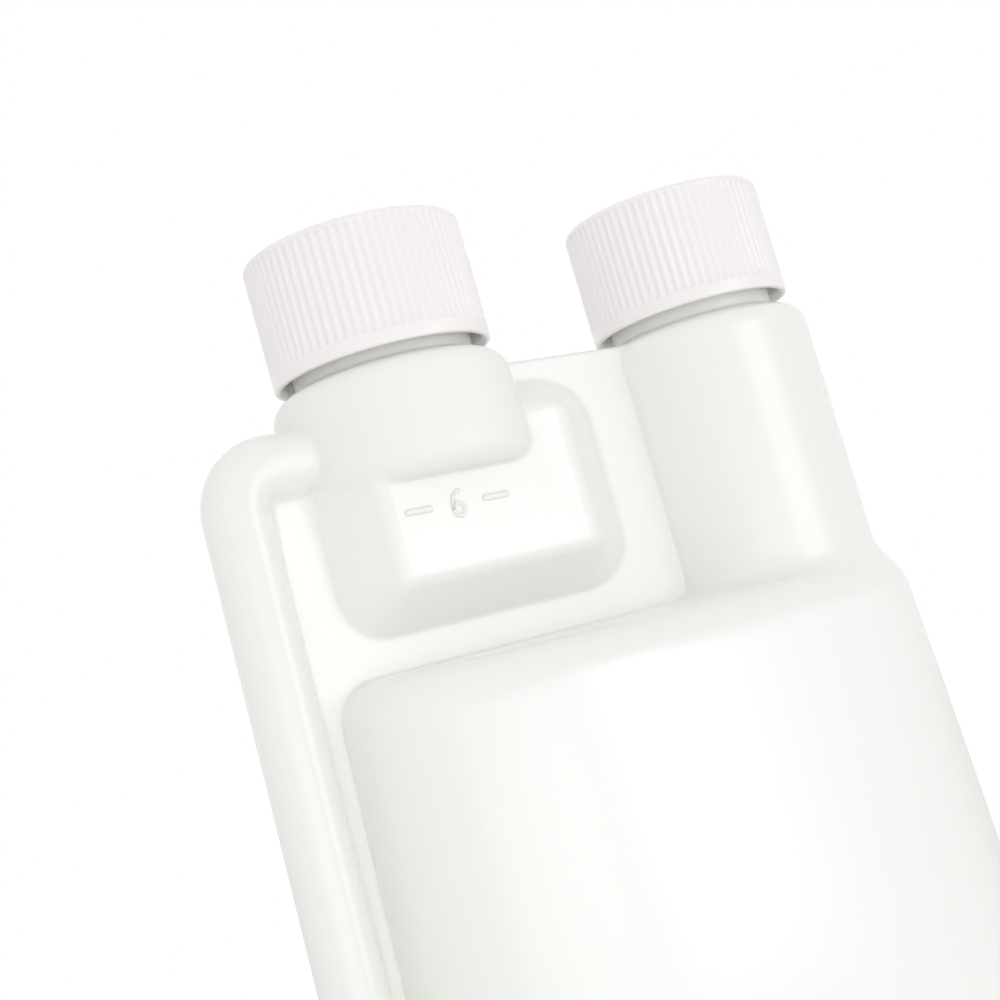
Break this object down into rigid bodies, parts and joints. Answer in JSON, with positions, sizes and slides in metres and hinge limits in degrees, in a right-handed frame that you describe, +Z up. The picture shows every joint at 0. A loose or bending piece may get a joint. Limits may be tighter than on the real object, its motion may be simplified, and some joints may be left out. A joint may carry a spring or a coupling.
{
  "type": "dosing squeeze bottle",
  "caption": "Twin neck squeeze bottle: oval reservoir, side tube, dosing chamber with raised fill mark, and ribbed screw caps on both necks.",
  "frame": {"origin": "middle of the bottle's footprint, on the surface that it stands on", "axes": "+Z up along the necks, +X from the dosing neck towards the filling neck, -Y the side with the fill mark"},
  "size_m": [0.1122, 0.052, 0.1874],
  "materials": {
    "natural_hdpe": "milky natural polyethylene, satin from the blow mould",
    "white_pp": "white polypropylene, satin",
    "foam_liner": "white foamed polyethylene, dull"
  },
  "bodies": {
    "bottle": {"bottle": "natural_hdpe"},
    "dosing_liner": {"dosing_cap_liner": "foam_liner"},
    "dosing_cap": {"dosing_cap": "white_pp"},
    "filling_liner": {"filling_cap_liner": "foam_liner"},
    "filling_cap": {"filling_cap": "white_pp"}
  },
  "joints": [
    {"name": "dosing_cap_rise", "type": "slide", "parent": "bottle", "child": "dosing_liner", "axis": [0, 0, 1], "range_m": [0, 0.00635]},
    {"name": "dosing_cap_turn", "type": "hinge", "parent": "dosing_liner", "child": "dosing_cap", "pos_m": [-0.02156, 0, 0.18], "axis": [0, 0, 1], "range_deg": [0, 540]},
    {"name": "filling_cap_rise", "type": "slide", "parent": "bottle", "child": "filling_liner", "axis": [0, 0, 1], "range_m": [-0.00054, 0.00581]},
    {"name": "filling_cap_turn", "type": "hinge", "parent": "filling_liner", "child": "filling_cap", "pos_m": [0.03514, 0, 0.18], "axis": [0, 0, 1], "range_deg": [-45.95, 494]}
  ],
  "couplings": [
    {"joint": "dosing_cap_rise", "follows": "dosing_cap_turn", "m_per_rad": 0.00067323},
    {"joint": "filling_cap_rise", "follows": "filling_cap_turn", "m_per_rad": 0.00067323}
  ]
}
